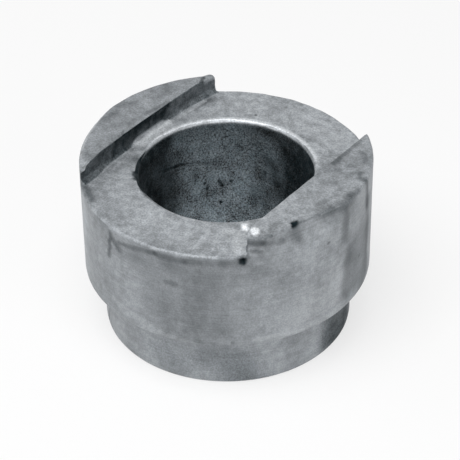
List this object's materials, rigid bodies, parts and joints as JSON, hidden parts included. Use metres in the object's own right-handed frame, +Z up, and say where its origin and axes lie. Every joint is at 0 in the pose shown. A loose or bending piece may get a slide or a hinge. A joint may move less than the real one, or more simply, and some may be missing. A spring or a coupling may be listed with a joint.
{
  "type": "spring support bushing",
  "caption": "Turned steel bushing with a through bore, a stepped spigot that centres a coil spring, and a wide slot milled across its head between two raised lands.",
  "frame": {"origin": "on the bore axis, in the plane of the spigot's foot", "axes": "+Z up the bore from the spigot to the slotted head, Y along the slot, +X towards the wide land"},
  "size_m": [0.04, 0.04, 0.0263],
  "materials": {
    "steel": "dull grey machined steel, mottled, stained and worn at its edges"
  },
  "bodies": {
    "root": {"bushing": "steel"}
  },
  "joints": []
}
